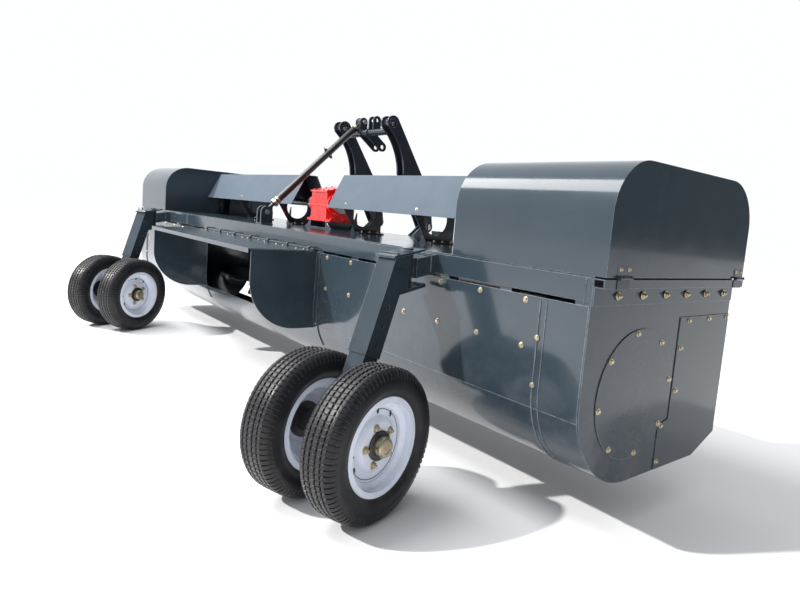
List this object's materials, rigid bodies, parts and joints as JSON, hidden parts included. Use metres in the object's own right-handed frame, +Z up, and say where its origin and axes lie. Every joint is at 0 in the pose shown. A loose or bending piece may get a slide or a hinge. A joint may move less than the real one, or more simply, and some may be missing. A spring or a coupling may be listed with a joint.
{
  "type": "cotton stalk harvester",
  "caption": "Wide three-point-hitch cotton stalk harvester with flail rotor, auger trough, rear discharge mouth, end drive hoods and twin castor wheels.",
  "frame": {"origin": "on the ground, midway along the width, at the middle of the outer box from the rearmost tyre to the hitch brackets", "axes": "+X to the right along the working width, +Y towards the tractor, +Z up"},
  "size_m": [5.6226, 2.0454, 1.8569],
  "materials": {
    "paint": "gloss",
    "red": "gloss",
    "tyre": "matte",
    "rim": "satin",
    "steel": "satin"
  },
  "bodies": {
    "frame": {"brace_lug": "paint", "end_covers": "paint", "end_drives": "paint", "end_plates": "paint", "end_rails": "paint", "front_beam": "paint", "front_wall": "paint", "gearbox": "red", "gearbox_stand": "paint", "hitch_brackets": "paint", "hitch_pins": "steel", "hood_hinges": "paint", "mast_arms": "paint", "mast_brace": "paint", "mast_cross_tube": "paint", "mouth_sides": "paint", "rear_beam": "paint", "rear_wall": "paint", "shaft_plates": "paint", "shaft_shields": "paint", "stand_sleeves": "paint", "stub_arms": "paint", "top_deck": "paint", "trough": "paint"},
    "castor_left": {"castor_leg_left": "paint", "castor_strut_left": "paint"},
    "castor_right": {"castor_leg_right": "paint", "castor_strut_right": "paint"},
    "wheels_left": {"tyres_left": "tyre", "rims_left": "rim", "hubs_left": "rim"},
    "wheels_right": {"tyres_right": "tyre", "rims_right": "rim", "hubs_right": "rim"},
    "rotor": {"rotor": "paint"},
    "auger": {"auger": "paint", "auger_flights": "paint"},
    "input_shaft": {"input_shaft": "steel"},
    "drive_shaft_left": {"drive_shaft_left": "steel"},
    "drive_shaft_right": {"drive_shaft_right": "steel"},
    "drive_hood_left": {"drive_hood_left": "paint"},
    "drive_hood_right": {"drive_hood_right": "paint"},
    "mouth_flap": {"mouth_flap": "paint"},
    "stand_left": {"stand_left": "paint"},
    "stand_right": {"stand_right": "paint"}
  },
  "joints": [
    {"name": "castor_turn_left", "type": "hinge", "parent": "frame", "child": "castor_left", "pos_m": [-1.89, -0.34424, 0.93], "axis": [0, 0, 1], "range_deg": [-75.2, 14.8]},
    {"name": "wheel_spin_left", "type": "hinge", "parent": "castor_left", "child": "wheels_left", "pos_m": [-1.71659, -0.64218, 0.2974], "axis": [0.8643, 0.503, 0], "continuous": true},
    {"name": "castor_turn_right", "type": "hinge", "parent": "frame", "child": "castor_right", "pos_m": [1.89, -0.34424, 0.93], "axis": [0, 0, 1], "range_deg": [-60.3, 29.7]},
    {"name": "wheel_spin_right", "type": "hinge", "parent": "castor_right", "child": "wheels_right", "pos_m": [1.98096, -0.67675, 0.2974], "axis": [0.9646, 0.2639, 0], "continuous": true},
    {"name": "rotor_spin", "type": "hinge", "parent": "frame", "child": "rotor", "pos_m": [0, 0.63262, 0.405], "axis": [1, 0, 0], "continuous": true},
    {"name": "auger_spin", "type": "hinge", "parent": "frame", "child": "auger", "pos_m": [0, 0.13176, 0.559], "axis": [1, 0, 0], "continuous": true},
    {"name": "input_spin", "type": "hinge", "parent": "frame", "child": "input_shaft", "pos_m": [0, 0.54776, 1.185], "axis": [0, 1, 0], "continuous": true},
    {"name": "drive_spin_left", "type": "hinge", "parent": "frame", "child": "drive_shaft_left", "pos_m": [-1, 0.33276, 1.185], "axis": [1, 0, 0], "continuous": true},
    {"name": "hood_lift_left", "type": "hinge", "parent": "frame", "child": "drive_hood_left", "pos_m": [-2.8033, 0.30474, 1.0076], "axis": [0, -1, 0], "range_deg": [0, 100]},
    {"name": "drive_spin_right", "type": "hinge", "parent": "frame", "child": "drive_shaft_right", "pos_m": [1, 0.33276, 1.185], "axis": [1, 0, 0], "continuous": true},
    {"name": "hood_lift_right", "type": "hinge", "parent": "frame", "child": "drive_hood_right", "pos_m": [2.8033, 0.30474, 1.0076], "axis": [0, 1, 0], "range_deg": [0, 100]},
    {"name": "flap_lift", "type": "hinge", "parent": "frame", "child": "mouth_flap", "pos_m": [0, -0.23424, 0.918], "axis": [-1, 0, 0], "range_deg": [0, 80]},
    {"name": "stand_slide_left", "type": "slide", "parent": "frame", "child": "stand_left", "axis": [0, 0, 1], "range_m": [0, 0.3]},
    {"name": "stand_slide_right", "type": "slide", "parent": "frame", "child": "stand_right", "axis": [0, 0, 1], "range_m": [0, 0.3]}
  ]
}
